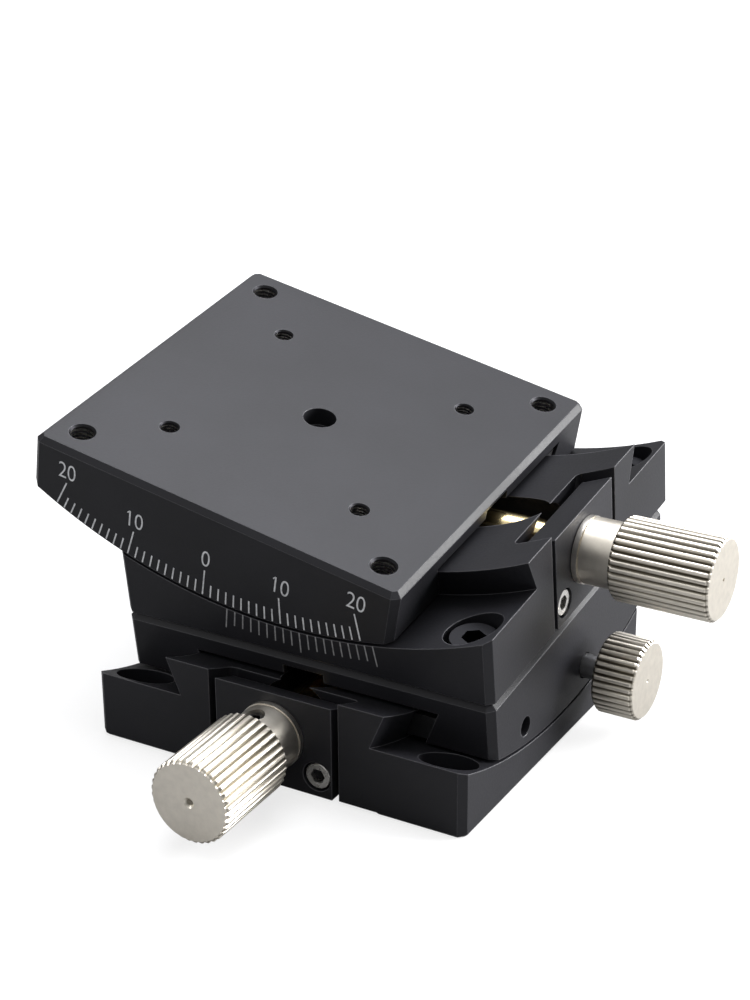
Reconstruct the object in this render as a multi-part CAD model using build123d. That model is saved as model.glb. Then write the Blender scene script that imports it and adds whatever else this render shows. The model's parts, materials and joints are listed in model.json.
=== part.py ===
from build123d import *
import math
import os

# Two-axis goniometer stage: two identical curved-dovetail stages, one on the other,
# the upper one turned by a quarter turn. Millimetres, +Z up, origin at the centre of
# the base's underside, X along the face that carries the upper scale.
#
# One stage is modelled in its own frame: u = +X along the travel, v = +Y across it,
# w = +Z up from the stage's own underside. Its table swings about a line along v at
# height pivot_height. Radii called R are measured from that line.

# sizes of one stage
stage_width = 60.0
upper_shift = 1.0
upper_half = stage_width / 2
lower_half = upper_half - upper_shift
stage_height = 19.5
table_to_pivot = 60.0
pivot_height = stage_height + table_to_pivot
corner_chamfer = 1.05
top_chamfer = 0.8
bottom_chamfer = 0.5

# rest pose, as in the photo
upper_tilt = 12.3
lower_tilt = 7.4

# curved guide
guide_drop = 15.0
guide_R = table_to_pivot + guide_drop
dovetail_height = 5.0
leg_gap = 0.5
ceiling_gap = 0.5
leg_R = guide_R - leg_gap
dovetail_top_R = guide_R - dovetail_height
ceiling_R = dovetail_top_R - ceiling_gap
dovetail_root_half = 15.4
dovetail_spread = 2.3
dovetail_tip_half = dovetail_root_half + dovetail_spread
slide_clearance = 0.05
gib_thickness = 3.0
gib_back_gap = 0.15
gib_edge_gap = 0.45
gib_top_R = dovetail_top_R + gib_edge_gap
gib_bottom_R = leg_R - gib_edge_gap
cut_angle = 35.0
cut_margin = 5.0

# underside pads of the base
pad_size = 13.5
pad_height = 0.5

# worm drive: single-start worm, module 0.5, against a toothed arc of 270 teeth a turn
module = 0.5
wheel_drop = 7.5
wheel_teeth = round(2 * (table_to_pivot + wheel_drop) / module)
wheel_pitch_R = module * wheel_teeth / 2
worm_pitch_r = 3.6
worm_axis_R = wheel_pitch_R + worm_pitch_r
worm_axis_w = pivot_height - worm_axis_R
lead = math.pi * module
pressure_angle = 20.0
addendum = 0.9 * module
dedendum = 1.2 * module
backlash = 0.12
thread_turns = 4
thread_facets = 12
thread_root_sink = 0.3
worm_root_r = worm_pitch_r - dedendum
worm_tip_r = worm_pitch_r + addendum
wheel_root_R = wheel_pitch_R - dedendum
wheel_tip_R = wheel_pitch_R + addendum
tooth_pitch_angle = 360.0 / wheel_teeth
rim_thickness = 1.0
wheel_back_R = wheel_root_R - rim_thickness
wheel_half_width = 3.0
back_facets = 12

# how far the table's pocket for the worm and its toothed arc reach along the travel
pocket_end_wall = 1.6
pocket_gap = 0.25
pocket_side_gap = 0.55
pocket_half_width = worm_tip_r + pocket_side_gap
pocket_R = worm_axis_R - worm_tip_r - pocket_gap
pocket_half_angle = math.degrees(math.asin((lower_half - pocket_end_wall) / pocket_R))
wheel_end_angle = 2.6
wheel_half_angle = pocket_half_angle - wheel_end_angle
teeth_each_side = int(wheel_half_angle / tooth_pitch_angle)

# worm shaft, stations along u measured from the pivot or back from the front face
core_half = 4.9
neck_step = 0.2
shoulder_step = 0.3
neck_r = worm_root_r - neck_step
journal_r = neck_r - shoulder_step
running_clearance = 0.05
rear_journal_r = 2.0
rear_journal_end = 18.8
rear_bore_room = 0.2
rear_bore_end = rear_journal_end + rear_bore_room
shoulder_gap = 0.1

# recess, bore and cover plate of the worm
recess_depth = 6.0
recess_half = 10.5
recess_fillet = 1.0
worm_bore_gap = 1.45
worm_bore_r = worm_tip_r + worm_bore_gap
worm_bore_end = -7.0
plate_thickness = 4.7
plate_gap = 1.1
plate_half = recess_half - plate_gap
plate_drop = 1.0
plate_top_R = dovetail_top_R + plate_drop
plate_bottom = 0.3
foot_top = 6.6
bush_wall = 1.5
front_bush_r = journal_r + bush_wall
plate_screw_edge = 2.4
plate_screw_v = plate_half - plate_screw_edge
plate_screw_w = 3.4
plate_screw_bore_r = 2.25
plate_screw_bore_depth = 2.7

# knob on the worm, stations measured outward from the front face
washer_gap = 0.1
washer_r = 5.0
washer_thickness = 0.8
collar_r = 4.9
grip_start = 6.0
grip_end = 21.0
grip_r = 6.2
shaft_end = 15.0
flute_count = 36
flute_depth = 0.45
flute_land = 0.42

# table groove for the worm shaft, and the arc's cross arm
groove_half_width = 3.3
groove_R = math.hypot(core_half, worm_axis_R - neck_r) - pocket_gap
arm_half_u = 6.0
arm_half_v = 8.0
arm_thickness = 1.7
arm_overlap = 0.5
arm_bottom_w = pivot_height - wheel_back_R - arm_thickness
seat_play = 0.1
seat_end_angle = 0.35

# holes in the tables and blocks
m3_spacing_half = 16.0
m4_tap_depth = 7.0
m3_thread_r = 1.5
m3_tap_depth = 6.0
centre_bore_r = 2.5
centre_bore_depth = 3.0
m4_head_r = 3.5
m4_head_height = 4.0
m4_thread_r = 2.0
m4_screw_length = 10.0
m4_play = 0.25
counterbore_gap = 0.7
through_r = m4_thread_r + m4_play
counterbore_r = m4_head_r + counterbore_gap
counterbore_drop = 16.0
counterbore_floor = stage_height - counterbore_drop
m4_wall = 0.8
m4_edge = counterbore_r + m4_wall
m4_spacing_half = stage_width / 2 - m4_edge
base_hole_u = lower_half - m4_edge
tap_room = 0.5

# holes of the gib set screws, and the clamp of the lower stage
gib_screw_angle = 15.9
gib_screw_rise = 3.3
gib_screw_R = guide_R - gib_screw_rise
gib_screw_r = 1.5
clamp_screw_r = 1.95
clamp_bore_r = clamp_screw_r + running_clearance
clamp_pad_room = 5.4
clamp_tip_gap = 0.05
clamp_knob_start = 3.5
clamp_knob_end = 9.9
clamp_knob_r = 6.0
clamp_screw_end = 8.0

flank_slope = (dovetail_tip_half - dovetail_root_half) / (guide_R - dovetail_top_R)
flank_stretch = math.hypot(1.0, flank_slope)
pivot_axis = Axis((0, 0, pivot_height), (0, 1, 0))
worm_place = Plane(origin=(0, 0, worm_axis_w), x_dir=(0, 0, 1), z_dir=(1, 0, 0)).location


def flank(R, offset=0.0):
    """Half width of the dovetail at radius R, moved out by offset square to its face."""
    return dovetail_root_half + (guide_R - R) * flank_slope + offset * flank_stretch


def swing(profile, half_angle):
    """Solid swept by a (v, R) outline about the pivot, through half_angle each way."""
    corners = [(0, v, pivot_height - R) for v, R in profile]
    face = make_face(Polyline(*corners, close=True))
    start = face.rotate(pivot_axis, -half_angle)
    return revolve(start, axis=pivot_axis, revolution_arc=2 * half_angle)


def box(u0, u1, v0, v1, w0, w1):
    """Plain box between the given faces."""
    low = Box(u1 - u0, v1 - v0, w1 - w0, align=(Align.MIN, Align.MIN, Align.MIN))
    return Pos(u0, v0, w0) * low


def rod(r, length):
    """Cylinder standing on the plane w = 0."""
    return Cylinder(r, length, align=(Align.CENTER, Align.CENTER, Align.MIN))


def along_u(shape, station=0.0):
    """Put a shape drawn along +Z on the worm's axis, with its foot at a station of u."""
    return Pos(station, 0, 0) * (worm_place * shape)


def along_v(shape, u, v, w):
    """Put a shape drawn along +Z so that it runs along +v from the point given."""
    return Pos(u, v, w) * (Rot(-90, 0, 0) * shape)


def lathe(points):
    """Turned solid about +Z from (r, z) points."""
    face = make_face(Polyline(*[(r, 0, z) for r, z in points], close=True))
    return revolve(face, axis=Axis.Z, revolution_arc=360)


def cap_screw():
    """M4 socket head cap screw, head up: its seat is the plane w = 0."""
    shank = Pos(0, 0, -m4_screw_length) * rod(m4_thread_r, m4_screw_length)
    return rod(m4_head_r, m4_head_height) + shank


def blank(half, height, chamfer_top, chamfer_bottom):
    """Outer block with chamfered corners and edges."""
    block = box(-half, half, -stage_width / 2, stage_width / 2, 0, height)
    block = chamfer(block.edges().filter_by(Axis.Z), corner_chamfer)
    if chamfer_top:
        block = chamfer(block.faces().sort_by(Axis.Z)[-1].edges(), chamfer_top)
    if chamfer_bottom:
        block = chamfer(block.faces().sort_by(Axis.Z)[0].edges(), chamfer_bottom)
    return block


def fixed_block(half, hole_places, with_pads):
    """Lower member of a stage: curved guide, worm recess and fixing holes."""
    edge = stage_width / 2 + cut_margin
    high = dovetail_top_R - stage_height
    above = [
        (-edge, high), (-edge, guide_R),
        (-dovetail_root_half, guide_R), (-dovetail_tip_half, dovetail_top_R),
        (dovetail_tip_half, dovetail_top_R), (dovetail_root_half, guide_R),
        (edge, guide_R), (edge, high),
    ]
    block = blank(half, stage_height, 0, bottom_chamfer) - swing(above, cut_angle)
    wall = half - recess_depth
    pocket = box(wall, half + cut_margin, -recess_half, recess_half,
                 -cut_margin, stage_height + cut_margin)
    inner = pocket.edges().filter_by(Axis.Z).sort_by(Axis.X)[:2]
    block = block - fillet(inner, recess_fillet)
    block = block - along_u(rod(worm_bore_r, half - worm_bore_end), worm_bore_end)
    rear_bore = rod(rear_journal_r + running_clearance, rear_bore_end + worm_bore_end)
    block = block - along_u(rear_bore, -rear_bore_end)
    for u, v in hole_places:
        block = block - Pos(u, v, -cut_margin) * rod(through_r, stage_height)
        block = block - Pos(u, v, counterbore_floor) * rod(counterbore_r, stage_height)
    if with_pads:
        relief_v = stage_width / 2 - pad_size
        relief_u = half - pad_size
        block = block - box(-relief_u, relief_u, -stage_width, stage_width,
                            -cut_margin, pad_height)
        block = block - box(-stage_width, stage_width, -relief_v, relief_v,
                            -cut_margin, pad_height)
    return block


def worm_plate(half):
    """Cover plate that carries the worm's front bush, standing on a low foot."""
    inner = half - plate_thickness
    wall = half - recess_depth
    plate = box(inner, half, -plate_half, plate_half, plate_bottom, stage_height)
    plate = plate + box(wall, inner, -plate_half, plate_half, plate_bottom, foot_top)
    edge = stage_width
    plate = plate - swing([(-edge, plate_top_R - stage_height), (-edge, plate_top_R),
                           (edge, plate_top_R), (edge, plate_top_R - stage_height)],
                          cut_angle)
    plate = plate - along_u(rod(worm_bore_r, recess_depth - plate_thickness), wall)
    plate = plate - along_u(rod(front_bush_r, recess_depth), wall)
    for v in (-plate_screw_v, plate_screw_v):
        bore = along_u(rod(plate_screw_bore_r, recess_depth), half - plate_screw_bore_depth)
        plate = plate - Pos(0, v, plate_screw_w - worm_axis_w) * bore
    return plate


def front_bush(half):
    """Plain bush pressed into the cover plate."""
    inner = half - plate_thickness
    bore_r = journal_r + running_clearance
    tube = rod(front_bush_r, plate_thickness) - rod(bore_r, plate_thickness)
    return along_u(tube, inner)


def worm_thread():
    """Helical thread of the worm about +Z, in flat facets, with its middle at z = 0."""
    slope = math.tan(math.radians(pressure_angle))
    base_half = lead / 4 + (dedendum + thread_root_sink) * slope
    tip_half = lead / 4 - addendum * slope
    foot = worm_root_r - thread_root_sink
    section = [(foot, -base_half), (worm_tip_r, -tip_half), (worm_tip_r, tip_half),
               (foot, base_half)]
    steps = thread_turns * thread_facets
    rings = []
    for k in range(-steps // 2, steps // 2 + 1):
        turn = 2 * math.pi * k / thread_facets
        rise = lead * k / thread_facets
        rings.append([(r * math.cos(turn), r * math.sin(turn), z + rise) for r, z in section])
    count = len(section)
    corners = []
    for near, far in zip(rings, rings[1:]):
        for i in range(count):
            j = (i + 1) % count
            corners.append((near[i], near[j], far[i]))
            corners.append((near[j], far[j], far[i]))
    for ring in (rings[0], rings[-1]):
        corners.append((ring[0], ring[1], ring[2]))
        corners.append((ring[0], ring[2], ring[3]))
    faces = [make_face(Polyline(*three, close=True)).face() for three in corners]
    return Solid(Shell(faces))


def worm(half, tilt):
    """Worm shaft, turned to mesh with the toothed arc at the tilt given."""
    shoulder = half - plate_thickness - shoulder_gap
    points = [
        (0, -rear_journal_end), (rear_journal_r, -rear_journal_end),
        (rear_journal_r, -core_half), (neck_r, -core_half), (neck_r, shoulder),
        (journal_r, shoulder), (journal_r, half + shaft_end), (0, half + shaft_end),
    ]
    core = extrude(RegularPolygon(worm_root_r, thread_facets), amount=2 * core_half)
    solid = lathe(points) + Pos(0, 0, -core_half) * core + worm_thread()
    return along_u(Rot(0, 0, tilt * wheel_teeth) * solid)


def thrust_washer(half):
    """Ring between the cover plate and the knob."""
    ring = rod(washer_r, washer_thickness) - rod(journal_r, washer_thickness)
    return along_u(ring, half + washer_gap)


def fluted(radius, length):
    """Grip with straight flutes, standing on z = 0."""
    step = 2 * math.pi / flute_count
    half_land = step * flute_land / 2
    points = []
    for k in range(flute_count):
        for r, a in ((radius, k * step - half_land), (radius, k * step + half_land),
                     (radius - flute_depth, (k + 0.5) * step)):
            points.append((r * math.cos(a), r * math.sin(a), 0))
    return extrude(make_face(Polyline(*points, close=True)), amount=length, dir=(0, 0, 1))


def knob(half):
    """Worm knob: plain collar and fluted grip on the worm's front journal."""
    first = washer_gap + washer_thickness
    body = Pos(0, 0, first) * rod(collar_r, grip_start - first)
    body = body + Pos(0, 0, grip_start) * fluted(grip_r, grip_end - grip_start)
    body = body - rod(journal_r, shaft_end)
    return along_u(body, half)


def table(half, tapped, clamp):
    """Upper member of a stage: two legs with a curved channel between them."""
    edge = stage_width / 2 + cut_margin
    low = guide_R + stage_height
    open_flank = slide_clearance * 2 + gib_thickness + gib_back_gap
    below = [
        (-edge, low), (-edge, leg_R),
        (-flank(leg_R, slide_clearance), leg_R),
        (-flank(ceiling_R, slide_clearance), ceiling_R),
        (flank(ceiling_R, open_flank), ceiling_R),
        (flank(leg_R, open_flank), leg_R),
        (edge, leg_R), (edge, low),
    ]
    body = blank(half, stage_height, top_chamfer, 0) - swing(below, cut_angle)
    deep = ceiling_R + ceiling_gap
    body = body - swing([(-groove_half_width, groove_R), (groove_half_width, groove_R),
                         (groove_half_width, deep), (-groove_half_width, deep)], cut_angle)
    body = body - swing([(-pocket_half_width, pocket_R), (pocket_half_width, pocket_R),
                         (pocket_half_width, deep), (-pocket_half_width, deep)],
                        pocket_half_angle)
    seat = wheel_half_width + seat_play
    seat_R = wheel_back_R - seat_play
    body = body - swing([(-seat, seat_R), (seat, seat_R),
                         (seat, deep), (-seat, deep)], wheel_half_angle + seat_end_angle)
    arm_u = arm_half_u + seat_play
    arm_v = arm_half_v + seat_play
    arm_top = pivot_height - wheel_back_R
    body = body - box(-arm_u, arm_u, -arm_v, arm_v, arm_top - stage_height / 2, arm_top)
    for u, v, r, depth in tapped:
        body = body - Pos(u, v, stage_height - depth) * rod(r, depth)
    for u, w in gib_screw_places():
        body = body - along_v(rod(gib_screw_r, stage_width), u, dovetail_tip_half, w)
    if clamp:
        body = body - along_v(rod(clamp_bore_r, stage_width), 0, dovetail_tip_half, worm_axis_w)
    return body


def gib_screw_places():
    """Centres (u, w) of the two gib set screws."""
    a = math.radians(gib_screw_angle)
    u = gib_screw_R * math.sin(a)
    w = pivot_height - gib_screw_R * math.cos(a)
    return [(-u, w), (u, w)]


def gib(half):
    """Curved strip that takes up the play of the dovetail."""
    near = slide_clearance
    far = slide_clearance + gib_thickness
    strip = swing([(flank(gib_top_R, near), gib_top_R), (flank(gib_bottom_R, near), gib_bottom_R),
                   (flank(gib_bottom_R, far), gib_bottom_R), (flank(gib_top_R, far), gib_top_R)],
                  cut_angle)
    room = half - bottom_chamfer
    return strip & box(-room, room, 0, stage_width, 0, stage_height)


def worm_wheel():
    """Toothed arc with a cross arm that sits in the table."""
    slope = math.tan(math.radians(pressure_angle))
    pitch_half = (lead / 2 - backlash) / 2
    root_half = math.degrees((pitch_half + dedendum * slope) / wheel_root_R)
    tip_half = math.degrees((pitch_half - addendum * slope) / wheel_tip_R)
    outline = [(wheel_root_R, -wheel_half_angle)]
    for k in range(-teeth_each_side, teeth_each_side):
        middle = (k + 0.5) * tooth_pitch_angle
        outline += [(wheel_root_R, middle - root_half), (wheel_tip_R, middle - tip_half),
                    (wheel_tip_R, middle + tip_half), (wheel_root_R, middle + root_half)]
    outline.append((wheel_root_R, wheel_half_angle))
    step = 2 * wheel_half_angle / back_facets
    back = wheel_back_R / math.cos(math.radians(step / 2))
    outline += [(back, wheel_half_angle - k * step) for k in range(back_facets + 1)]
    lean = lead / (2 * math.pi * worm_pitch_r)
    start = -wheel_half_width
    corners = []
    for R, a in outline:
        u = R * math.sin(math.radians(a)) - lean * start
        corners.append((u, start, pivot_height - R * math.cos(math.radians(a))))
    run = Vector(-lean, 1, 0)
    rim = extrude(make_face(Polyline(*corners, close=True)),
                  amount=2 * wheel_half_width * run.length, dir=run)
    arm_top = pivot_height - wheel_back_R
    gap = wheel_half_width - arm_overlap
    arm = box(-arm_half_u, arm_half_u, -arm_half_v, arm_half_v, arm_bottom_w, arm_top)
    arm = arm - box(-arm_half_u, arm_half_u, -gap, gap, arm_bottom_w, arm_top)
    return arm + rim


def clamp_pad_end():
    """Where the clamp pad ends and the clamp screw begins, along v."""
    return stage_width / 2 - clamp_pad_room


def clamp_pad():
    """Brass plug between the clamp screw and the gib, its nose cut to the gib's slope."""
    far = slide_clearance + gib_thickness + clamp_tip_gap
    start = dovetail_root_half
    plug = along_v(rod(clamp_screw_r, clamp_pad_end() - start), 0, start, worm_axis_w)
    reach = worm_axis_R + cut_margin
    over = worm_axis_R - cut_margin
    cutter = swing([(0, over), (flank(over, far), over), (flank(reach, far), reach), (0, reach)],
                   cut_margin)
    return plug - cutter


def clamp_screw():
    """Stud of the clamp, in line with the pad."""
    start = clamp_pad_end()
    length = stage_width / 2 + clamp_screw_end - start
    return along_v(rod(clamp_screw_r, length), 0, start, worm_axis_w)


def clamp_knob():
    """Short fluted knob on the clamp stud."""
    length = clamp_knob_end - clamp_knob_start
    body = fluted(clamp_knob_r, length)
    body = body - rod(clamp_screw_r, clamp_screw_end - clamp_knob_start)
    return along_v(body, 0, stage_width / 2 + clamp_knob_start, worm_axis_w)


def corner_places(u_values, v_half):
    """Four hole centres."""
    return [(u, v) for u in u_values for v in (-v_half, v_half)]


def about_pivot(turn):
    """A turn about the centre of a stage's pivot line."""
    return Pos(0, 0, pivot_height) * turn * Pos(0, 0, -pivot_height)


lower_fixed = Rot(0, 0, -90)
lower_swing = about_pivot(Rot(lower_tilt, 0, 0))
lower_moving = lower_swing * lower_fixed
upper_fixed = lower_swing * Pos(0, upper_shift, stage_height)
upper_moving = upper_fixed * about_pivot(Rot(0, upper_tilt, 0))

base_places = corner_places((-base_hole_u, base_hole_u), m4_spacing_half)
upper_places = corner_places((-m4_spacing_half, m4_spacing_half), m4_spacing_half)
carriage_places = corner_places((-m4_spacing_half - upper_shift, m4_spacing_half - upper_shift),
                                m4_spacing_half)
table_taps = [(u, v, m4_thread_r, m4_tap_depth) for u, v in upper_places]
table_taps += [(u, v, m3_thread_r, m3_tap_depth)
               for u, v in corner_places((-m3_spacing_half, m3_spacing_half), m3_spacing_half)]
carriage_tap_depth = m4_screw_length - counterbore_floor + tap_room
carriage_taps = [(u, v, m4_thread_r, carriage_tap_depth) for u, v in carriage_places]

upper_table = table(upper_half, table_taps, False)
upper_table = upper_table - Pos(0, 0, stage_height - centre_bore_depth) * rod(
    centre_bore_r, centre_bore_depth + cut_margin)

block_screws = Part()
for place_u, place_v in upper_places:
    block_screws = block_screws + Pos(place_u, place_v, counterbore_floor) * cap_screw()

# fixed and moving pieces of the lower stage
lower_nodes = {
    "base_block": (lower_fixed, fixed_block(lower_half, base_places, True)),
    "lower_worm_block": (lower_fixed, worm_plate(lower_half)),
    "lower_worm_front_bush": (lower_fixed, front_bush(lower_half)),
    "lower_worm": (lower_fixed, worm(lower_half, lower_tilt)),
    "lower_thrust_washer": (lower_fixed, thrust_washer(lower_half)),
    "lower_knob": (lower_fixed, knob(lower_half)),
    "lower_carriage": (lower_moving, table(lower_half, carriage_taps, True)),
    "lower_gib": (lower_moving, gib(lower_half)),
    "lower_worm_wheel": (lower_moving, worm_wheel()),
    "clamp_pad": (lower_moving, clamp_pad()),
    "clamp_screw": (lower_moving, clamp_screw()),
    "clamp_knob": (lower_moving, clamp_knob()),
}

# fixed and moving pieces of the upper stage
upper_nodes = {
    "upper_block": (upper_fixed, fixed_block(upper_half, upper_places, False)),
    "upper_block_screws": (upper_fixed, block_screws),
    "upper_worm_block": (upper_fixed, worm_plate(upper_half)),
    "upper_worm_front_bush": (upper_fixed, front_bush(upper_half)),
    "upper_worm": (upper_fixed, worm(upper_half, upper_tilt)),
    "upper_thrust_washer": (upper_fixed, thrust_washer(upper_half)),
    "upper_knob": (upper_fixed, knob(upper_half)),
    "upper_table": (upper_moving, upper_table),
    "upper_gib": (upper_moving, gib(upper_half)),
    "upper_worm_wheel": (upper_moving, worm_wheel()),
}

os.makedirs("parts", exist_ok=True)
for name, (place, shape) in {**lower_nodes, **upper_nodes}.items():
    export_step(place * shape, "parts/" + name + ".step")
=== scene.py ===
# %% [markdown]
# # A two-axis goniometer stage
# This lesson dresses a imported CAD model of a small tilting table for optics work. The solids come in
# as a fixed frame, in metres. We add a camera, soft light, real surface finishes, the engraved angle
# scale and the screw threads, and leave every moving piece on the body that carries it.

# %% Load the frame
import bpy
import json
import math
from mathutils import Matrix, Vector


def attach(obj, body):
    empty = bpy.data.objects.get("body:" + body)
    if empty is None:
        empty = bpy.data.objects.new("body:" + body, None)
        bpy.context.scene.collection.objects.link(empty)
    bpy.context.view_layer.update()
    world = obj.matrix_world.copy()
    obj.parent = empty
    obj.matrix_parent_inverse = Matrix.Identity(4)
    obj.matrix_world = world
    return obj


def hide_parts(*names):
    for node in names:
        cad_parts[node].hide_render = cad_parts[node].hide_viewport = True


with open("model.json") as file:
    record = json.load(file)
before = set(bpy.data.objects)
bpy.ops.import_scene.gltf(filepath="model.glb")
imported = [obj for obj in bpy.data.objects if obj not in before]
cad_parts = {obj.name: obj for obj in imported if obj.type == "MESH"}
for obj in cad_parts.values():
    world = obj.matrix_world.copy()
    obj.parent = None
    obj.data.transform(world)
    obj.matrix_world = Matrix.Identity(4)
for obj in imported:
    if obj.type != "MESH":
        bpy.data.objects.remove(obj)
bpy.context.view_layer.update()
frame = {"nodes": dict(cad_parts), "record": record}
nodes = frame["nodes"]

# %% [markdown]
# ## Sizes that the dressing needs
# Everything is placed from the same few numbers as the solids: the two tilt angles of the photographed
# pose, the height of a stage and the radii of its curved guide. A matrix carries a stage's own
# coordinates to the place where that stage stands.

# %% Sizes and places
MM = 0.001
STAGE_HEIGHT = 19.5
PIVOT = 79.5
HALF = 30.0
UPPER_TILT = math.radians(12.3)
LOWER_TILT = math.radians(7.4)
UPPER_SHIFT = 1.0
LEG_R = 74.5
GUIDE_R = 75.0


def swing(angle, axis):
    """A turn about the pivot line of a stage, in millimetres."""
    up = Matrix.Translation((0, 0, PIVOT))
    return up @ Matrix.Rotation(angle, 4, axis) @ up.inverted()


to_metres = Matrix.Scale(MM, 4)
base_place = to_metres @ Matrix.Rotation(-math.pi / 2, 4, "Z")
carriage_turn = swing(LOWER_TILT, "X")
carriage_place = to_metres @ carriage_turn @ Matrix.Rotation(-math.pi / 2, 4, "Z")
block_place = to_metres @ carriage_turn @ Matrix.Translation((0, UPPER_SHIFT, STAGE_HEIGHT))
table_place = block_place @ swing(UPPER_TILT, "Y")

# %% [markdown]
# ## Camera
# The camera was fitted to the hole grid and the scale of the photograph. A long lens from a third of a
# metre gives the same mild perspective.

# %% Camera
camera_data = bpy.data.cameras.new("camera")
camera = bpy.data.objects.new("camera", camera_data)
bpy.context.collection.objects.link(camera)
camera.location = (0.14755, -0.25782, 0.16470)
camera.rotation_euler = [math.radians(a) for a in (65.9577, 0.3321, 29.5526)]
camera_data.sensor_fit = "VERTICAL"
camera_data.sensor_height = 36.0
camera_data.lens = 80.779
camera_data.shift_x = -0.003
camera_data.shift_y = 0.0025
bpy.context.scene.camera = camera

# %% [markdown]
# ## Light and floor
# A product photograph on white. Black anodising only looks black when it mirrors something dark, so the
# surround is bright overhead and dim near the horizon. One large lamp stands above and behind, one low
# on the right, and three weak ones fill in. The camera itself sees plain white.

# %% World
world = bpy.data.worlds.new("studio")
bpy.context.scene.world = world
world.use_nodes = True
sky = world.node_tree
background = sky.nodes["Background"]
direction = sky.nodes.new("ShaderNodeTexCoord")
split = sky.nodes.new("ShaderNodeSeparateXYZ")
dome = sky.nodes.new("ShaderNodeMapRange")
dome.interpolation_type = "SMOOTHSTEP"
dome.inputs["From Min"].default_value = -0.1
dome.inputs["From Max"].default_value = 0.8
dome.inputs["To Min"].default_value = 0.06
dome.inputs["To Max"].default_value = 0.7
light_path = sky.nodes.new("ShaderNodeLightPath")
level = sky.nodes.new("ShaderNodeMix")
level.data_type = "FLOAT"
level.inputs["B"].default_value = 1.0
sky.links.new(direction.outputs["Generated"], split.inputs["Vector"])
sky.links.new(split.outputs["Z"], dome.inputs["Value"])
sky.links.new(light_path.outputs["Is Camera Ray"], level.inputs["Factor"])
sky.links.new(dome.outputs["Result"], level.inputs["A"])
sky.links.new(level.outputs["Result"], background.inputs["Strength"])
background.inputs["Color"].default_value = (1.0, 1.0, 1.0, 1.0)


# %% Lamps
def soft_lamp(name, place, target, size, power, color=(1.0, 1.0, 1.0)):
    """A square area lamp that faces a point."""
    data = bpy.data.lights.new(name, "AREA")
    data.color = color
    data.shape = "SQUARE"
    data.size = size
    data.energy = power
    lamp = bpy.data.objects.new(name, data)
    bpy.context.collection.objects.link(lamp)
    lamp.location = place
    aim = Vector(target) - Vector(place)
    lamp.rotation_euler = aim.to_track_quat("-Z", "Y").to_euler()


centre = (0.0, 0.0, 0.02)
soft_lamp("behind_and_above", (-0.05, 0.24, 0.62), centre, 0.50, 5.0, (0.94, 0.95, 1.0))
soft_lamp("overhead", (0.05, -0.10, 0.75), centre, 0.50, 1.0)
soft_lamp("from_the_right", (0.50, 0.38, 0.22), centre, 0.40, 12.5)
soft_lamp("from_the_left", (-0.50, -0.45, 0.30), centre, 0.30, 0.2)
soft_lamp("low_at_the_left", (-0.14, -0.16, 0.05), (-0.02, -0.03, 0.03), 0.08, 0.06)

# %% Floor
bpy.ops.object.select_all(action="DESELECT")
bpy.ops.mesh.primitive_plane_add(size=6.0, location=(0, 0, 0))
floor = bpy.context.object
floor.name = "floor"

# The paper is grey to the metal and white to the camera, and keeps the shadow near the object.
NEAR, FAR = 0.05, 0.22
paper = bpy.data.materials.new("paper")
paper.use_nodes = True
paper_tree = paper.node_tree
paper_shader = paper_tree.nodes["Principled BSDF"]
paper_shader.inputs["Roughness"].default_value = 0.9
paper_shader.inputs["Specular IOR Level"].default_value = 0.0
paper_shader.inputs["Emission Color"].default_value = (1, 1, 1, 1)
paper_place = paper_tree.nodes.new("ShaderNodeTexCoord")
distance = paper_tree.nodes.new("ShaderNodeVectorMath")
distance.operation = "LENGTH"
fade = paper_tree.nodes.new("ShaderNodeMapRange")
fade.interpolation_type = "SMOOTHSTEP"
fade.inputs["From Min"].default_value = NEAR
fade.inputs["From Max"].default_value = FAR
fade.inputs["To Min"].default_value = 0.74
fade.inputs["To Max"].default_value = 1.0
eye = paper_tree.nodes.new("ShaderNodeLightPath")
glow = paper_tree.nodes.new("ShaderNodeMath")
glow.operation = "MULTIPLY"
tone = paper_tree.nodes.new("ShaderNodeMix")
tone.data_type = "RGBA"
tone.inputs["A"].default_value = (0.42, 0.42, 0.42, 1)
tone.inputs["B"].default_value = (0.22, 0.22, 0.22, 1)
paper_tree.links.new(paper_place.outputs["Object"], distance.inputs[0])
paper_tree.links.new(distance.outputs["Value"], fade.inputs["Value"])
paper_tree.links.new(fade.outputs["Result"], glow.inputs[0])
paper_tree.links.new(eye.outputs["Is Camera Ray"], glow.inputs[1])
paper_tree.links.new(glow.outputs[0], paper_shader.inputs["Emission Strength"])
paper_tree.links.new(fade.outputs["Result"], tone.inputs["Factor"])
paper_tree.links.new(tone.outputs["Result"], paper_shader.inputs["Base Color"])
floor.data.materials.append(paper)
print("floor:", floor.name)

# %% [markdown]
# ## Black anodised aluminium
# The blocks are milled, bead blasted and dyed black. Up close the skin is very slightly grainy and a
# touch violet. The sharp edges get a painted highlight, a paler colour. Noise on object coordinates
# gives the grain, as colour, roughness and bump. A Bevel node finds the edges.


# %% Shader helpers
def new_shader(name, color, roughness, metallic=0.0):
    """A material with its Principled shader and object coordinates ready to use."""
    material = bpy.data.materials.new(name)
    material.use_nodes = True
    tree = material.node_tree
    shader = tree.nodes["Principled BSDF"]
    shader.inputs["Base Color"].default_value = (*color, 1)
    shader.inputs["Roughness"].default_value = roughness
    shader.inputs["Metallic"].default_value = metallic
    place = tree.nodes.new("ShaderNodeTexCoord")
    return material, tree, shader, place.outputs["Object"]


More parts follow.
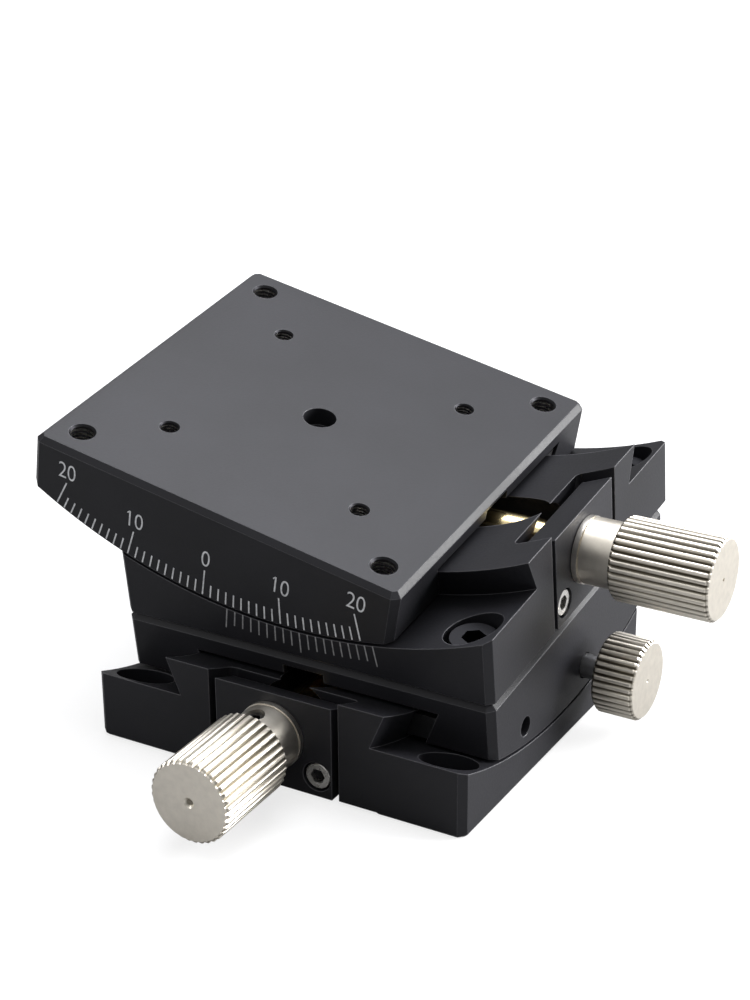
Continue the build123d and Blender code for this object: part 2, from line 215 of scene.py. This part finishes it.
def noise(tree, place, scale, detail=3.0, stretch=None):
    """Noise on object coordinates, in cycles per metre."""
    if stretch:
        mapping = tree.nodes.new("ShaderNodeMapping")
        mapping.inputs["Scale"].default_value = stretch
        tree.links.new(place, mapping.inputs["Vector"])
        place = mapping.outputs["Vector"]
    texture = tree.nodes.new("ShaderNodeTexNoise")
    texture.inputs["Scale"].default_value = scale
    texture.inputs["Detail"].default_value = detail
    tree.links.new(place, texture.inputs["Vector"])
    return texture.outputs["Fac"]


def ramp(tree, value, stops):
    """Turns a value into colours. Each stop is (position, colour)."""
    node = tree.nodes.new("ShaderNodeValToRGB")
    marks = node.color_ramp.elements
    marks[0].position, marks[0].color = stops[0][0], (*stops[0][1], 1)
    marks[1].position, marks[1].color = stops[-1][0], (*stops[-1][1], 1)
    for position, color in stops[1:-1]:
        marks.new(position).color = (*color, 1)
    tree.links.new(value, node.inputs["Fac"])
    return node.outputs["Color"]


def spread(tree, value, low, high):
    """Maps 0..1 to low..high."""
    node = tree.nodes.new("ShaderNodeMapRange")
    node.inputs["To Min"].default_value = low
    node.inputs["To Max"].default_value = high
    tree.links.new(value, node.inputs["Value"])
    return node.outputs["Result"]


def bump(tree, shader, height, distance, strength=1.0, normal=None):
    """Feeds a height to the shader's normal."""
    node = tree.nodes.new("ShaderNodeBump")
    node.inputs["Distance"].default_value = distance
    node.inputs["Strength"].default_value = strength
    tree.links.new(height, node.inputs["Height"])
    if normal:
        tree.links.new(normal, node.inputs["Normal"])
    tree.links.new(node.outputs["Normal"], shader.inputs["Normal"])


# %% Black anodised aluminium
def make_anodised():
    """Black skin with fine grain, soft clouds of tone and a painted highlight on the edges."""
    material, tree, shader, place = new_shader("black_anodised", (0.012, 0.012, 0.014), 0.40)
    grain = noise(tree, place, 2600.0, 2.0)
    cloud = noise(tree, place, 60.0, 3.0)
    tone = ramp(tree, cloud, [(0.3, (0.012, 0.012, 0.014)), (0.7, (0.016, 0.016, 0.019))])
    rounded = tree.nodes.new("ShaderNodeBevel")
    rounded.samples = 6
    rounded.inputs["Radius"].default_value = 0.00022
    face = tree.nodes.new("ShaderNodeNewGeometry")
    facing = tree.nodes.new("ShaderNodeVectorMath")
    facing.operation = "DOT_PRODUCT"
    tree.links.new(rounded.outputs["Normal"], facing.inputs[0])
    tree.links.new(face.outputs["Normal"], facing.inputs[1])
    edge = tree.nodes.new("ShaderNodeMapRange")
    edge.inputs["From Min"].default_value = 0.99
    edge.inputs["From Max"].default_value = 0.80
    edge.inputs["To Max"].default_value = 1.0
    tree.links.new(facing.outputs["Value"], edge.inputs["Value"])
    # Painted highlight: near the edges the colour is mixed towards a paler grey.
    edge_highlight_paint = tree.nodes.new("ShaderNodeMix")
    edge_highlight_paint.data_type = "RGBA"
    edge_highlight_paint.inputs["B"].default_value = (0.13, 0.13, 0.14, 1)
    tree.links.new(edge.outputs["Result"], edge_highlight_paint.inputs["Factor"])
    tree.links.new(tone, edge_highlight_paint.inputs["A"])
    tree.links.new(edge_highlight_paint.outputs["Result"], shader.inputs["Base Color"])
    tree.links.new(spread(tree, grain, 0.34, 0.46), shader.inputs["Roughness"])
    shader.inputs["Specular IOR Level"].default_value = 0.20
    bump(tree, shader, grain, 0.00002, 0.5, rounded.outputs["Normal"])
    return material


anodised = make_anodised()
print("made", anodised.name)

# %% [markdown]
# ## Nickel, brass, bronze and steel
# The knobs are turned and nickel plated, which is warmer than chrome, and the bottoms of their flutes
# carry painted shade, a dull dark colour. The worm is polished brass. Screws are stainless steel or
# black.


# %% Metals
def make_metal(name, color, roughness, grain_scale, swing_amount, relief=0.4):
    """A metal whose colour and roughness vary a little with a fine grain."""
    material, tree, shader, place = new_shader(name, color, roughness, 1.0)
    grain = noise(tree, place, grain_scale, 4.0)
    dark = tuple(c * 0.9 for c in color)
    tree.links.new(ramp(tree, grain, [(0.3, dark), (0.7, color)]), shader.inputs["Base Color"])
    rough = spread(tree, grain, roughness - swing_amount, roughness + swing_amount)
    tree.links.new(rough, shader.inputs["Roughness"])
    bump(tree, shader, grain, 0.00001, relief)
    return material


RINGS_PER_SCALE = 20


def add_turned_rings(material, place, spacing, land, start, end):
    """Fine lathe rings round an axis, and painted shade at the bottoms of the flutes. All in metres."""
    tree = material.node_tree
    shader = tree.nodes["Principled BSDF"]
    object_place = tree.nodes.new("ShaderNodeTexCoord").outputs["Object"]
    mapping = tree.nodes.new("ShaderNodeMapping")
    mapping.vector_type = "TEXTURE"
    location, turn, _ = place.decompose()
    mapping.inputs["Location"].default_value = location
    mapping.inputs["Rotation"].default_value = turn.to_euler()
    tree.links.new(object_place, mapping.inputs["Vector"])
    rings = tree.nodes.new("ShaderNodeTexWave")
    rings.wave_type = "RINGS"
    rings.rings_direction = "Z"
    rings.inputs["Scale"].default_value = 2 * math.pi / (RINGS_PER_SCALE * spacing)
    tree.links.new(mapping.outputs["Vector"], rings.inputs["Vector"])
    grooves = tree.nodes.new("ShaderNodeBump")
    grooves.inputs["Distance"].default_value = 0.000003
    grooves.inputs["Strength"].default_value = 0.5
    tree.links.new(rings.outputs["Fac"], grooves.inputs["Height"])
    tree.links.new(shader.inputs["Normal"].links[0].from_socket, grooves.inputs["Normal"])
    tree.links.new(grooves.outputs["Normal"], shader.inputs["Normal"])
    split_axes = tree.nodes.new("ShaderNodeSeparateXYZ")
    across = tree.nodes.new("ShaderNodeCombineXYZ")
    reach = tree.nodes.new("ShaderNodeVectorMath")
    reach.operation = "LENGTH"
    tree.links.new(mapping.outputs["Vector"], split_axes.inputs["Vector"])
    tree.links.new(split_axes.outputs["X"], across.inputs["X"])
    tree.links.new(split_axes.outputs["Y"], across.inputs["Y"])
    tree.links.new(across.outputs["Vector"], reach.inputs[0])
    bright = None
    for source, low, high in ((reach.outputs["Value"], land - 0.00032, land - 0.00006),
                              (split_axes.outputs["Z"], end - 0.0003, end - 0.0001),
                              (split_axes.outputs["Z"], start + 0.0001, start - 0.0001)):
        step = tree.nodes.new("ShaderNodeMapRange")
        step.inputs["From Min"].default_value = low
        step.inputs["From Max"].default_value = high
        tree.links.new(source, step.inputs["Value"])
        if bright is None:
            bright = step.outputs["Result"]
            continue
        either = tree.nodes.new("ShaderNodeMath")
        either.operation = "MAXIMUM"
        tree.links.new(bright, either.inputs[0])
        tree.links.new(step.outputs["Result"], either.inputs[1])
        bright = either.outputs[0]
    # Painted shade: the bottoms of the flutes are mixed towards a dull dark colour, but not the end face
    # or the collar side.
    groove_shade = tree.nodes.new("ShaderNodeMix")
    groove_shade.data_type = "RGBA"
    groove_shade.inputs["A"].default_value = (0.22, 0.20, 0.16, 1)
    tree.links.new(shader.inputs["Base Color"].links[0].from_socket, groove_shade.inputs["B"])
    tree.links.new(bright, groove_shade.inputs["Factor"])
    tree.links.new(groove_shade.outputs["Result"], shader.inputs["Base Color"])


# Colour, roughness, grain scale, how much the roughness varies, and relief.
NICKEL = ((0.80, 0.75, 0.66), 0.36, 900.0, 0.02, 0.1)
nickel = make_metal("plated_nickel", *NICKEL)
washer_metal = make_metal("ground_washer", (0.74, 0.71, 0.66), 0.30, 1500.0, 0.05)
brass = make_metal("polished_brass", (0.93, 0.76, 0.42), 0.20, 700.0, 0.04)
bronze = make_metal("turned_bronze", (0.62, 0.40, 0.20), 0.32, 900.0, 0.05)
steel = make_metal("stainless_steel", (0.88, 0.86, 0.82), 0.28, 1200.0, 0.05)
dark_steel = make_metal("ground_gib_steel", (0.30, 0.30, 0.31), 0.35, 1500.0, 0.05)
black_steel = make_metal("black_oxide_steel", (0.018, 0.018, 0.02), 0.45, 1500.0, 0.05)

finishes = {
    "black_anodised": anodised,
    "nickel": nickel,
    "washer_nickel": washer_metal,
    "brass": brass,
    "bronze": bronze,
    "wheel_bronze": bronze,
    "gib_steel": dark_steel,
    "screw_steel": steel,
}
for subpart in frame["record"]["subparts"]:
    node = nodes[subpart["node"]]
    for material_slot in node.material_slots:
        material_slot.material = finishes[subpart["material_slot"]]

# %% [markdown]
# ## Engraved scales
# Fine lines and digits are engraved through the black and filled with pale paint. Every line is a thin
# plate that stands a hundredth of a millimetre proud of the face, so that it never flickers with the
# metal. The index lies in the table's shade, and that shade is painted in as a darker copy of the paint.

# %% Engraving paint
engraving, paint_tree, paint_shader, paint_place = new_shader("engraving_paint", (0.55, 0.56, 0.58), 0.6)
paint_grain = noise(paint_tree, paint_place, 1800.0, 2.0)
paint_tone = ramp(paint_tree, paint_grain, [(0.3, (0.42, 0.43, 0.45)), (0.6, (0.62, 0.63, 0.65))])
paint_tree.links.new(paint_tone, paint_shader.inputs["Base Color"])
# Painted shade: the index gets a darker copy of the paint, because the table shades it.
index_paint_painted_shade = engraving.copy()
index_paint_painted_shade.name = "index_paint_painted_shade"
for node in index_paint_painted_shade.node_tree.nodes:
    if node.type == "VALTORGB":
        for mark, tone in zip(node.color_ramp.elements, (0.17, 0.25)):
            mark.color = (tone, tone, tone * 1.04, 1)
print("paints:", engraving.name, index_paint_painted_shade.name)


# %% Helpers for lines and digits
def join(parts, name):
    """Joins parts into one piece."""
    bpy.ops.object.select_all(action="DESELECT")
    for part in parts:
        part.select_set(True)
    bpy.context.view_layer.objects.active = parts[0]
    bpy.ops.object.join()
    parts[0].name = name
    return parts[0]


PLATE = 0.02


def engraved_line(angle, start_R, length, width):
    """A plate along a radius, drawn on the face v = 0 with u to the right and w up."""
    bpy.ops.object.select_all(action="DESELECT")
    bpy.ops.mesh.primitive_cube_add(size=1.0)
    line = bpy.context.object
    middle = start_R - length / 2
    line.scale = (width, PLATE, length)
    line.rotation_euler = (0, -angle, 0)
    line.location = (middle * math.sin(angle), 0, PIVOT - middle * math.cos(angle))
    bpy.ops.object.transform_apply(location=True, rotation=True, scale=True)
    return line


CAP_SHARE = 0.72    # a digit's height as a share of the font's size


def engraved_number(text, angle, R, rise, height):
    """Digits straight above a tick's end at radius R. All numbers are level with the table's edge."""
    bpy.ops.object.select_all(action="DESELECT")
    bpy.ops.object.text_add()
    digits = bpy.context.object
    digits.data.body = text
    digits.data.size = height / CAP_SHARE
    digits.data.offset = -0.034
    digits.data.space_character = 0.98
    digits.data.align_x = "CENTER"
    digits.data.align_y = "CENTER"
    digits.data.extrude = PLATE / 2
    bpy.ops.object.convert(target="MESH")
    if text.startswith("1"):    # the font's figure one has no flag
        left = min(p.co.x for p in digits.data.vertices)
        top = max(p.co.y for p in digits.data.vertices)
        bpy.ops.mesh.primitive_cube_add(size=1.0, location=(left - 0.12, top - 0.26, 0),
                                        rotation=(0, 0, math.radians(42)))
        flag = bpy.context.object
        flag.scale = (0.62, 0.2, PLATE)
        bpy.ops.object.transform_apply(location=True, rotation=True, scale=True)
        digits = join([digits, flag], "digits")
    stand = Matrix.Rotation(math.radians(90), 4, "X") @ Matrix.Scale(0.82, 4, (1, 0, 0))
    place = Matrix.Translation((R * math.sin(angle), 0, PIVOT - R * math.cos(angle) + rise))
    digits.data.transform(place @ stand)
    digits.matrix_world = Matrix.Identity(4)
    return digits


def settle(piece, place, body, material):
    """Puts a piece drawn in a stage's millimetres where the stage is, and lets it ride."""
    piece.data.transform(place)
    piece.matrix_world = Matrix.Identity(4)
    piece.data.materials.clear()
    piece.data.materials.append(material)
    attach(piece, body)


# %% Scale and index
TICK_GAP = 0.2
LONG_TICK = 4.3


def make_scale(name, place, body):
    """The angle scale of a table: a tick each degree, a long one each ten, and numbers."""
    face = Matrix.Translation((0, -HALF, 0))
    parts = []
    for degree in range(-20, 21):
        angle = math.radians(degree)
        length = LONG_TICK if degree % 10 == 0 else 2.1
        parts.append(engraved_line(angle, LEG_R - TICK_GAP, length, 0.23))
        if degree % 10 == 0:
            number = engraved_number(str(abs(degree)), angle, LEG_R - TICK_GAP - LONG_TICK, 1.9, 2.8)
            parts.append(number)
    scale = join(parts, name)
    settle(scale, place @ face, body, engraving)
    print(name, len(scale.data.vertices), "vertices")


def make_index(name, place, body):
    """The fixed index below the scale: nineteen lines, longer at the ends and the middle."""
    face = Matrix.Translation((0, -HALF, 0))
    parts = []
    for step in range(-9, 10):
        length = 3.3 if step % 9 == 0 else 2.5
        parts.append(engraved_line(math.radians(step * 1.01), GUIDE_R + length, length, 0.21))
    index = join(parts, name)
    settle(index, place @ face, body, index_paint_painted_shade)
    print(name, len(index.data.vertices), "vertices")


make_scale("upper_scale", table_place, "table")
make_index("upper_index", block_place, "carriage")
make_scale("lower_scale", carriage_place, "carriage")
make_index("lower_index", base_place, "base")

# %% [markdown]
# ## Turned and fluted pieces
# Small turned parts are drawn as a ring of points that is extruded from station to station. Flutes come
# from pulling five of each eight points of the ring inwards. Sockets and cross holes are cut with a
# Boolean modifier, and threads come from the Screw modifier.


# %% Modelling helpers
def choose(piece, test):
    """Selects the points of a piece that pass a test and leaves the piece in edit mode."""
    bpy.ops.object.mode_set(mode="EDIT")
    bpy.ops.mesh.select_mode(type="VERT")
    bpy.ops.mesh.select_all(action="DESELECT")
    bpy.ops.object.mode_set(mode="OBJECT")
    for point in piece.data.vertices:
        point.select = test(point)
    bpy.ops.object.mode_set(mode="EDIT")


def grow(rise, factor, height):
    """Extrudes the selected ring upwards and then changes its radius."""
    bpy.ops.mesh.extrude_region_move(TRANSFORM_OT_translate={"value": (0, 0, rise)})
    if factor != 1.0:
        bpy.ops.transform.resize(value=(factor, factor, 1.0), center_override=(0, 0, height))


def turned(stations, points=64):
    """A turned piece about +Z from (height, radius) stations, closed at both ends."""
    bpy.ops.object.select_all(action="DESELECT")
    height, radius = stations[0]
    bpy.ops.mesh.primitive_circle_add(vertices=points, radius=radius, fill_type="NGON",
                                      location=(0, 0, height))
    piece = bpy.context.object
    bpy.ops.object.transform_apply(location=True)
    bpy.ops.object.mode_set(mode="EDIT")
    bpy.ops.mesh.select_all(action="SELECT")
    for next_height, next_radius in stations[1:]:
        grow(next_height - height, next_radius / radius, next_height)
        height, radius = next_height, next_radius
    bpy.ops.mesh.select_all(action="SELECT")
    bpy.ops.mesh.normals_make_consistent(inside=False)
    bpy.ops.object.mode_set(mode="OBJECT")
    return piece


def cut_with(piece, cutter):
    """Cuts one piece with another, which is used up."""
    bpy.ops.object.select_all(action="DESELECT")
    bpy.context.view_layer.objects.active = piece
    piece.select_set(True)
    modifier = piece.modifiers.new("cut", "BOOLEAN")
    modifier.operation = "DIFFERENCE"
    modifier.solver = "EXACT"
    modifier.object = cutter
    bpy.ops.object.modifier_apply(modifier="cut")
    bpy.data.objects.remove(cutter)
    return piece


def screw_thread(radius, tip, pitch, turns, start, fullness=0.46):
    """A helical ridge about +Z, from a radius to its tip, that starts at a height."""
    bpy.ops.object.select_all(action="DESELECT")
    bpy.ops.mesh.primitive_circle_add(vertices=3, radius=1.0, fill_type="NOTHING")
    ridge = bpy.context.object
    ridge.rotation_euler = (math.radians(90), math.radians(30 if tip > radius else 210), 0)
    bpy.ops.object.transform_apply(rotation=True)
    reach = abs(tip - radius)
    ridge.scale = (reach / 1.5, 1, pitch * fullness / 0.866)
    middle = radius + (0.5 if tip > radius else -0.5) * reach / 1.5
    ridge.location = (middle, 0, start)
    bpy.ops.object.transform_apply(location=True, scale=True)
    modifier = ridge.modifiers.new("thread", "SCREW")
    modifier.axis = "Z"
    modifier.screw_offset = pitch
    modifier.iterations = turns
    modifier.steps = 32
    modifier.render_steps = 32
    modifier.use_normal_calculate = True
    bpy.ops.object.modifier_apply(modifier="thread")
    return ridge


def smooth(piece, degrees=28):
    """Smooth shading where faces meet at less than an angle."""
    bpy.ops.object.select_all(action="DESELECT")
    bpy.context.view_layer.objects.active = piece
    piece.select_set(True)
    bpy.ops.object.shade_smooth_by_angle(angle=math.radians(degrees))


# %% [markdown]
# ## Knobs
# Each knob has a plain collar with a set screw, and a grip with thirty-six flutes whose ends run out in
# a small chamfer. The end face carries the lathe's centre mark.

# %% Fluted grip
FLUTES = 36
FLUTE_POINTS = 8
FLUTE_DEPTH = 0.45


def fluted_grip(radius, start, end, mark, mark_depth, runout=0.45):
    """A grip with straight flutes about +Z and a centre mark in its end."""
    low = radius - FLUTE_DEPTH
    inner = radius - FLUTE_DEPTH * 0.72
    mid = radius - FLUTE_DEPTH * 0.16
    bpy.ops.object.select_all(action="DESELECT")
    bpy.ops.mesh.primitive_circle_add(vertices=FLUTES * FLUTE_POINTS, radius=radius,
                                      fill_type="NGON", location=(0, 0, start + runout))
    grip = bpy.context.object
    bpy.ops.object.transform_apply(location=True)
    for ring, steps in ((low, (0,)), (inner, (1, 7)), (mid, (2, 6))):
        choose(grip, lambda p: p.index % FLUTE_POINTS in steps)
        bpy.ops.transform.resize(value=(ring / radius, ring / radius, 1), center_override=(0, 0, 0))
    for level_z, rise in ((start + runout, end - start - 2 * runout), (end - runout, runout),
                          (start + runout, -runout)):
        choose(grip, lambda p: abs(p.co.z - level_z) < 1e-4)
        bpy.ops.mesh.extrude_region_move(TRANSFORM_OT_translate={"value": (0, 0, rise)})
        if abs(rise) == runout:
            for ring in (radius, mid, inner):
                choose(grip, lambda p: abs(p.co.z - level_z - rise) < 1e-4
                       and abs(math.hypot(p.co.x, p.co.y) - ring) < 1e-3)
                factor = low / ring
                bpy.ops.transform.resize(value=(factor, factor, 1), center_override=(0, 0, 0))
    choose(grip, lambda p: abs(p.co.z - end) < 1e-4)
    grow(0.0, mark / low, end)
    grow(-mark_depth, 0.5, end)
    bpy.ops.mesh.select_all(action="SELECT")
    bpy.ops.mesh.normals_make_consistent(inside=False)
    bpy.ops.object.mode_set(mode="OBJECT")
    return grip


def socket_screw(radius, length, socket, depth):
    """A screw head or set screw that stands on z = 0, with a hexagon socket."""
    head = turned([(0, radius), (length - 0.15, radius), (length, radius - 0.15)], 48)
    hexagon = turned([(length - depth, socket), (length + 1, socket)], 6)
    return cut_with(head, hexagon)


def worm_knob(name, node, axis_place, body, grub_angle, mark, mark_depth):
    """Collar, grip and set screw of a worm knob, about the worm's axis."""
    collar = turned([(0.9, 4.7), (1.1, 4.9), (5.8, 4.9), (6.1, 4.7)], 96)
    hole = turned([(2.0, 1.5), (8.0, 1.5)], 40)
    across = Matrix.Rotation(math.radians(90), 4, "Y")
    to_hole = Matrix.Rotation(math.radians(grub_angle), 4, "Z") @ Matrix.Translation((0, 0, 4.0))
    hole.data.transform(to_hole @ across)
    cut_with(collar, hole)
    grub = socket_screw(1.42, 1.7, 0.87, 1.0)
    grub.data.transform(to_hole @ across @ Matrix.Translation((0, 0, 2.6)))
    knob = join([collar, fluted_grip(6.2, 6.0, 21.0, mark, mark_depth)], name)
    smooth(knob)
    smooth(grub)
    plating = make_metal(name + "_nickel", *NICKEL)
    add_turned_rings(plating, axis_place, 0.00022, 0.0062, 0.0060, 0.0210)
    settle(knob, axis_place, body, plating)
    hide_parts(node)
    grub.name = name + "_set_screw"
    settle(grub, axis_place, body, black_steel)


# %% Place the knobs
axis_turn = Matrix(((0, 0, 1, 0), (0, -1, 0, 0), (1, 0, 0, 8.4), (0, 0, 0, 1)))
lower_axis = base_place @ Matrix.Translation((29.0, 0, 0)) @ axis_turn
upper_axis = block_place @ Matrix.Translation((30.0, 0, 0)) @ axis_turn
worm_knob("lower_worm_knob", "lower_knob", lower_axis, "lower_drive", 5.0, 0.8, 0.3)
worm_knob("upper_worm_knob", "upper_knob", upper_axis, "upper_drive", 250.0, 0.3, 1.2)

clamp_axis = carriage_place @ Matrix.Translation((0, 30.0, 8.4)) @ Matrix.Rotation(-math.pi / 2, 4, "X")
clamp_grip = fluted_grip(6.0, 3.5, 9.9, 0.3, 0.2)
clamp_grip.name = "clamp_grip"
smooth(clamp_grip)
clamp_plating = make_metal("clamp_grip_nickel", *NICKEL)
add_turned_rings(clamp_plating, clamp_axis, 0.00022, 0.0060, 0.0035, 0.0099)
settle(clamp_grip, clamp_axis, "clamp_turn", clamp_plating)
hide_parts("clamp_knob")

stud_thread = screw_thread(1.62, 1.95, 0.7, 7, -1.0)
stud_core = turned([(-5.4, 1.6), (-5.2, 1.7), (5.0, 1.7)], 48)
stud = join([stud_core, stud_thread], "clamp_stud")
smooth(stud)
settle(stud, clamp_axis, "clamp_turn", dark_steel)
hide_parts("clamp_screw")
print("knobs placed")

# %% [markdown]
# ## Screws
# Silver cap screws hold the cover plates, and a black plug in the bottom of each socket is painted
# shade. Black cap screws in deep counterbores hold the upper block, and small set screws press on the
# gibs.

# %% Cap screws and set screws
PLATE_SCREW_V = 7.0
PLATE_SCREW_DROP = 5.0
for name, axis_place, body in (("lower", lower_axis, "base"), ("upper", upper_axis, "carriage")):
    pair = []
    bottoms = []
    for v in (-PLATE_SCREW_V, PLATE_SCREW_V):
        screw = socket_screw(2.0, 2.45, 1.15, 2.1)
        # Painted shade: a black hexagon plug fills the bottom of each socket.
        bottom = turned([(0.36, 1.14), (1.6, 1.14)], 6)
        for piece, group in ((screw, pair), (bottom, bottoms)):
            piece.data.transform(Matrix.Translation((-PLATE_SCREW_DROP, -v, -2.7)))
            group.append(piece)
    screws = join(pair, name + "_plate_screws")
    smooth(screws)
    socket_shade_plugs = join(bottoms, name + "_plate_screw_socket_shade")
    settle(socket_shade_plugs, axis_place, body, black_steel)
    settle(screws, axis_place, body, steel)

BLOCK_SCREW_HALF = 25.0
heads = []
for u in (-BLOCK_SCREW_HALF, BLOCK_SCREW_HALF):
    for v in (-BLOCK_SCREW_HALF, BLOCK_SCREW_HALF):
        head = socket_screw(3.5, 4.0, 1.73, 2.0)
        shank = turned([(-10.0, 1.7), (-9.6, 2.0), (0.1, 2.0)], 48)
        for piece in (head, shank):
            piece.data.transform(Matrix.Translation((u, v, 3.5)))
            heads.append(piece)
block_screws = join(heads, "upper_block_cap_screws")
smooth(block_screws)
settle(block_screws, block_place, "carriage", black_steel)
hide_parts("upper_block_screws")

GIB_SCREW_R = 71.7
GIB_SCREW_ANGLE = math.radians(15.9)
GIB_U = GIB_SCREW_R * math.sin(GIB_SCREW_ANGLE)
GIB_W = PIVOT - GIB_SCREW_R * math.cos(GIB_SCREW_ANGLE)
for name, stage_place, body in (("lower", carriage_place, "carriage"), ("upper", table_place, "table")):
    pair = []
    for u in (-GIB_U, GIB_U):
        screw = socket_screw(1.42, 7.6, 0.87, 1.2)
        lay = Matrix.Rotation(-math.pi / 2, 4, "X")
        screw.data.transform(Matrix.Translation((u, 21.2, GIB_W)) @ lay)
        pair.append(screw)
    screws = join(pair, name + "_gib_screws")
    smooth(screws)
    settle(screws, stage_place, body, black_steel)
print("screws placed")

# %% [markdown]
# ## Threads of the tapped holes
# A fine ridge winds down each tapped hole of the table. Where the tap cut through the black skin, bare
# aluminium glints.

# %% Tapped holes
def mouth(radius, depth):
    """The conical mouth of a tapped hole, with its rim at z = 0."""
    ring = turned([(-depth, radius - 0.005), (0, radius - 0.005)], 64)
    funnel = turned([(-depth - 0.1, radius - depth - 0.1), (0.05, radius + 0.05)], 64)
    return cut_with(ring, funnel)


ridges = []
mouths = []
for spacing, radius, pitch, depth in ((25.0, 2.0, 0.7, 6.0), (16.0, 1.5, 0.5, 5.0)):
    for u in (-spacing, spacing):
        for v in (-spacing, spacing):
            turns = int((depth - 0.5) / pitch)
            start = STAGE_HEIGHT - 0.4 - turns * pitch
            ridge = screw_thread(radius, radius - pitch * 0.5, pitch, turns, start, 0.22)
            ridge.data.transform(Matrix.Translation((u, v, 0)))
            ridges.append(ridge)
            rim = mouth(radius, pitch * 0.4)
            rim.data.transform(Matrix.Translation((u, v, STAGE_HEIGHT)))
            mouths.append(rim)
threads = join(ridges, "table_threads")
smooth(threads)
settle(threads, table_place, "table", steel)
rims = join(mouths, "table_hole_mouths")
smooth(rims)
settle(rims, table_place, "table", black_steel)
print("threads:", len(threads.data.polygons), "faces")

# %% [markdown]
# ## Worms
# The worm's thread has the same lead as the solid's, but is round, with a finely turned shaft.

# %% Worms
LEAD = math.pi * 0.5


def worm_piece(name, node, axis_place, half, body):
    """A single-start worm on its shaft, about the worm's axis."""
    front = half - 4.8
    shaft = turned([(-18.8, 1.8), (-18.6, 2.0), (-4.9, 2.0), (-4.9, 3.0), (4.9, 3.0), (4.9, 2.8),
                    (front, 2.8), (front, 2.5), (half + 14.0, 2.5)], 64)
    thread = screw_thread(2.9, 3.95, LEAD, 5, -LEAD * 2.5)
    worm = join([shaft, thread], name)
    smooth(worm)
    worm.data.transform(Matrix.Translation((0, 0, -half)))
    settle(worm, axis_place, body, brass)
    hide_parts(node)


worm_piece("lower_brass_worm", "lower_worm", lower_axis, 29.0, "lower_drive")
worm_piece("upper_brass_worm", "upper_worm", upper_axis, 30.0, "upper_drive")
print("worms placed")

# %% [markdown]
# ## The view transform is set to Standard.
# The box of the dressed stage is written down beside the solids' box, so that the two can be compared.

# %% Finish
bpy.context.scene.view_settings.view_transform = "Standard"
